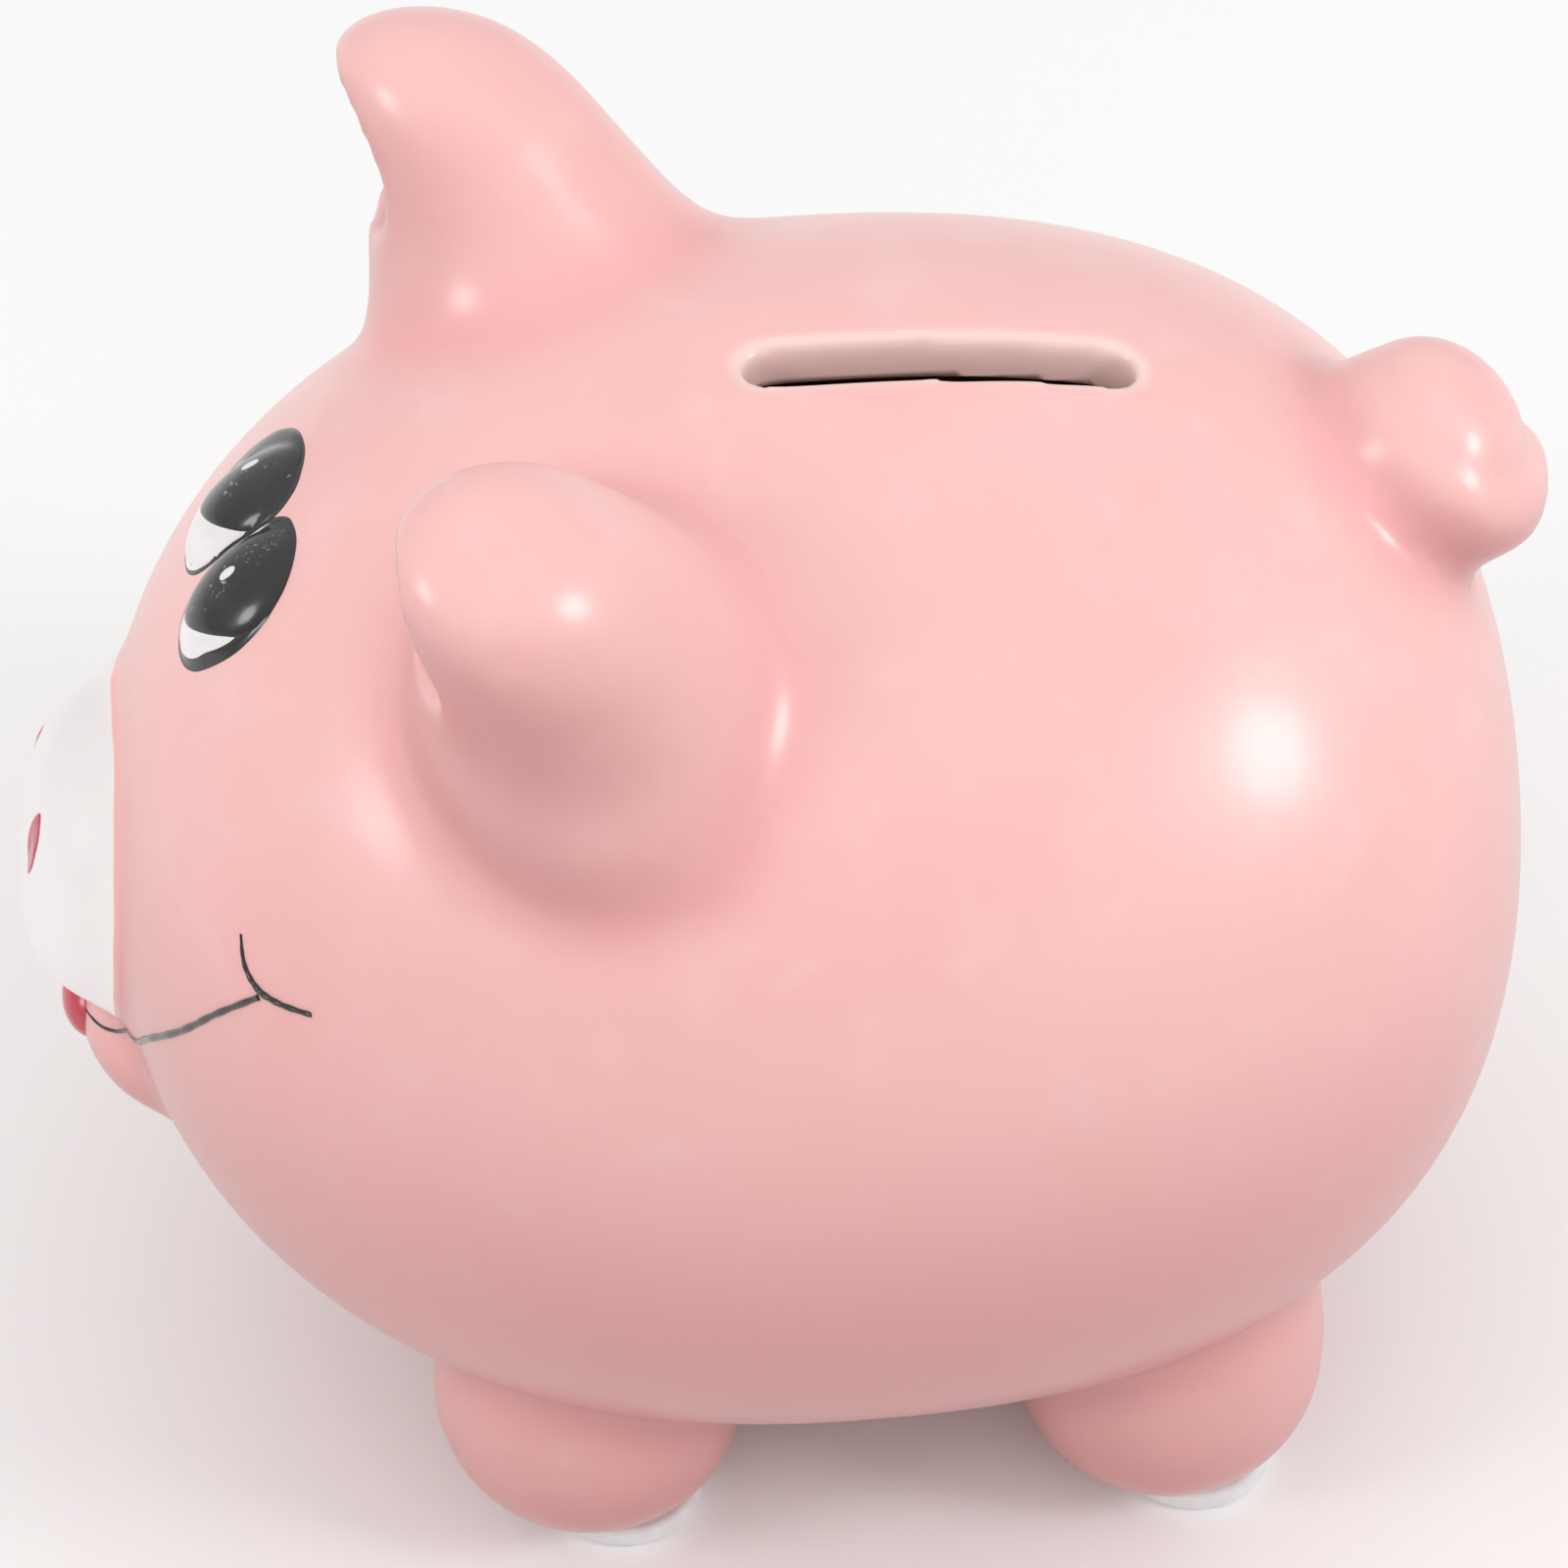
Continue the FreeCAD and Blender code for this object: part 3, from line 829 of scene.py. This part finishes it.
def pinkGlaze():
    book = Book("pink_glaze")
    place = book.place()
    x, y, z = book.axes(place)
    cloud = book.noise(place, 26, 3)
    mottle = book.noise(place, 140, 4)
    worn = book.mix(book.step(cloud, 0.35, 0.7), glaze["pink"], glaze["deep"])
    colour = book.mix(0.35, glaze["pink"], worn)
    colour = book.mix(book.step(mottle, 0.5, 0.75) * 0.18, colour, glaze["pale"])
    # painted shade: deeper pink in the folds where the members meet the barrel
    crease = book.node("ShaderNodeAttribute", {"attribute_name": "crease"}, output=2)
    colour = book.mix(book.step(crease, 0.15, 1.0) * 0.7, colour, glaze["deep"])
    # painted light: paler pink round the slot's lips and down its inner walls
    rim = book.node("ShaderNodeAttribute", {"attribute_name": "rim"}, output=2)
    colour = book.mix(book.step(rim, 0.2, 0.9) * 0.85, colour, glaze["pale"])
    # painted shade: darker pink on what faces down, but not in the slot
    facing = book.axes(book.node("ShaderNodeNewGeometry", output=1))[2]
    paintedShadeBelow = (1 - book.step(facing, -0.4, 0.8)) * (1 - book.step(rim, 0.0, 0.3))
    colour = book.mix(paintedShadeBelow * 0.8, colour, glaze["low"])
    # a few dark specks
    cells = {"Vector": place, "Scale": glaze["speckScale"]}
    cell = book.node("ShaderNodeTexVoronoi", inputs=cells)
    chance = book.axes(book.node("ShaderNodeTexVoronoi", inputs=cells, output=1))[0]
    speck = (1 - book.step(cell, 0.008, 0.016)) * (1 - book.step(chance, 0.1, 0.12))
    colour = book.mix(speck * 0.8, colour, glaze["speck"])
    # the white snout, up to a hand-painted edge
    wobble = (book.noise(place, 90, 1) - 0.5) * 0.0008 + (book.noise(place, 34, 1) - 0.5) * 0.003
    axis = barrel["axisHeight"] + snoutPaint["axisRise"]
    reach = book.node("ShaderNodeMath", {"operation": "SQRT"}, (x * x + (z - axis) * (z - axis),))
    edge = y + wobble - (barrel["ring"] - snoutPaint["edge"]) - (z - axis) * snoutPaint["slant"]
    near = 1 - book.step(reach, *snoutPaint["reach"])
    white = (1 - book.step(edge, *snoutPaint["edgeBlur"])) * near
    seam = (1 - book.step(edge, *snoutPaint["seamBlur"])) * near
    colour = book.mix(seam * 0.5, colour, glaze["deep"])
    colour = book.mix(white, colour, glaze["snout"])
    roughness = 0.3 + book.noise(place, 60, 3) * 0.08
    ripple = book.noise(place, 45, 2)
    orange = book.noise(place, 420, 2)  # orange peel
    bumps = [(ripple, 0.25, 0.0008), (orange, 0.06, 0.0003)]
    return book.finish(colour, roughness, bumps, Coat_Weight=0.4, Coat_Roughness=0.2)


def enamel(name, colour, tint, rough=0.2):
    book = Book(name)
    place = book.place()
    strokes = book.noise(place, 260, 3)
    shade = book.mix(book.step(strokes, 0.4, 0.75) * 0.5, colour, tint)
    roughness = rough + book.noise(place, 300, 2) * 0.1
    return book.finish(shade, roughness, [(strokes, 0.2, 0.0002)], Coat_Weight=0.4, Coat_Roughness=0.1)


skinGlaze = pinkGlaze()
pigSkin.data.materials.clear()
pigSkin.data.materials.append(skinGlaze)
blackEnamel = enamel("black_enamel", rgb(26, 23, 23), rgb(48, 44, 44), 0.18)


def pupilEnamel():
    book = Book("pupil_enamel")
    place = book.place()
    x, y = book.axes(place)[:2]
    strokes = book.noise(place, 260, 3)
    shade = book.mix(book.step(strokes, 0.4, 0.75) * 0.5, rgb(24, 21, 21), rgb(46, 42, 42))
    # a streak of fine scratches down the middle of each pupil
    centre = book.node("ShaderNodeMath", {"operation": "ABSOLUTE"}, (x,))
    offset = centre - 0.0052 + (y - eyeMiddle.y) * 0.25
    streak = book.node("ShaderNodeMath", {"operation": "ABSOLUTE"}, (offset,))
    band = 1 - book.step(streak, 0.0008, 0.0022)
    fleck = book.step(book.noise(place, 1900, 5, 0.7, 0.6), 0.58, 0.64)
    patch = book.step(book.noise(place, 420, 2), 0.45, 0.6)
    worn = book.limit(band * fleck * patch)
    shade = book.mix(worn * 0.75, shade, rgb(196, 192, 188))
    roughness = 0.18 + strokes * 0.1 + worn * 0.4
    bumps = [(strokes - worn * 0.6, 0.25, 0.0002)]
    return book.finish(shade, roughness, bumps, Coat_Weight=0.35, Coat_Roughness=0.1)


eyeMiddle = eyePose(1, 0.0) @ Vector((0, 0, 0))
whiteEnamel = enamel("white_enamel", rgb(240, 236, 236), rgb(222, 214, 214))
redEnamel = enamel("red_enamel", rgb(196, 62, 78), rgb(160, 40, 58))


def padFinish():
    book = Book("pad_finish")
    place = book.place()
    grain = book.noise(place, 500, 4)
    colour = book.mix(grain, rgb(214, 213, 216), rgb(240, 239, 240))
    return book.finish(colour, 0.55 + grain * 0.2, [(grain, 0.3, 0.0002)])


def rubberFinish():
    book = Book("stopper_rubber")
    place = book.place()
    grain = book.noise(place, 700, 4)
    colour = book.mix(grain, rgb(196, 190, 182), rgb(172, 166, 158))
    return book.finish(colour, 0.6 + grain * 0.15, [(grain, 0.3, 0.0002)])


partFinish = {
    "outline": blackEnamel, "white": whiteEnamel, "pupil": pupilEnamel(),
    "glint": whiteEnamel, "nostril": redEnamel, "stroke": blackEnamel,
}
for piece, part in enamelPieces:
    piece.data.materials.clear()
    piece.data.materials.append(partFinish[part])
tongue.data.materials.append(redEnamel)
bung.data.materials.clear()
bung.data.materials.append(rubberFinish())
padSurface = padFinish()
for node, piece in nodes.items():
    if not node.startswith("foot_pad"):
        continue
    piece.data.materials.clear()
    piece.data.materials.append(padSurface)
    pick(piece)
    bpy.ops.object.shade_smooth_by_angle(angle=math.radians(40))
print("glazes made")


# floor, lights and camera

studio = {
    "aim": (0.0, -2.3 * mm, 4.75 * mm),
    "azimuth": 85.5,
    "elevation": 45.0,
    "distance": 0.480,
    "lens": 118.8,
    "floorSize": 6,
    "lights": {  # azimuth, elevation, distance, size and power
        "key": (156, 30, 0.9, 0.26, 2.0),
        "side": (22, 30, 0.9, 0.28, 1.4),
    },
    "sky": {"From Min": 0.0, "From Max": 1.0, "To Min": 0.6, "To Max": 0.98},
}
bpy.ops.mesh.primitive_plane_add(size=studio["floorSize"], location=(0, 0, 0))
floor = bpy.context.object
floor.name = "floor"
floorBook = Book("floor_paper")
floor.data.materials.append(floorBook.finish(rgb(250, 250, 250), 0.6))


def wayFrom(azimuth, elevation):  # a unit vector, azimuth 0 being the front
    a, e = math.radians(azimuth), math.radians(elevation)
    return Vector((math.sin(a) * math.cos(e), -math.cos(a) * math.cos(e), math.sin(e)))


aim = ringCentre + Vector(studio["aim"])
back = wayFrom(studio["azimuth"], studio["elevation"])
cameraData = bpy.data.cameras.new("camera")
cameraData.lens = studio["lens"]
cameraData.sensor_width = 36
cameraData.clip_start, cameraData.clip_end = 0.01, 20
camera = bpy.data.objects.new("camera", cameraData)
bpy.context.scene.collection.objects.link(camera)
camera.location = aim + back * studio["distance"]
camera.rotation_mode = "QUATERNION"
camera.rotation_quaternion = (-back).to_track_quat("-Z", "Y")
bpy.context.scene.camera = camera


def softLight(name, azimuth, elevation, distance, size, power):
    data = bpy.data.lights.new(name, "AREA")
    data.shape = "DISK"
    data.size = size
    data.energy = power
    light = bpy.data.objects.new(name, data)
    way = wayFrom(azimuth, elevation)
    light.location = aim + way * distance
    light.rotation_mode = "QUATERNION"
    light.rotation_quaternion = (-way).to_track_quat("-Z", "Y")
    bpy.context.scene.collection.objects.link(light)


for name, setting in studio["lights"].items():
    softLight(name, *setting)
world = bpy.data.worlds.new("studio")
world.use_nodes = True
sky = world.node_tree
generated = sky.nodes.new("ShaderNodeTexCoord")
parts = sky.nodes.new("ShaderNodeSeparateXYZ")
sky.links.new(generated.outputs["Generated"], parts.inputs[0])
level = sky.nodes.new("ShaderNodeMapRange")
for key, value in studio["sky"].items():
    level.inputs[key].default_value = value
sky.links.new(parts.outputs["Z"], level.inputs["Value"])
sky.links.new(level.outputs[0], sky.nodes["Background"].inputs["Strength"])
sky.nodes["Background"].inputs["Color"].default_value = (1, 1, 1, 1)
bpy.context.scene.world = world
bpy.context.scene.view_settings.view_transform = "Standard"
bpy.context.scene.view_settings.exposure = 0.0
print("studio lit")
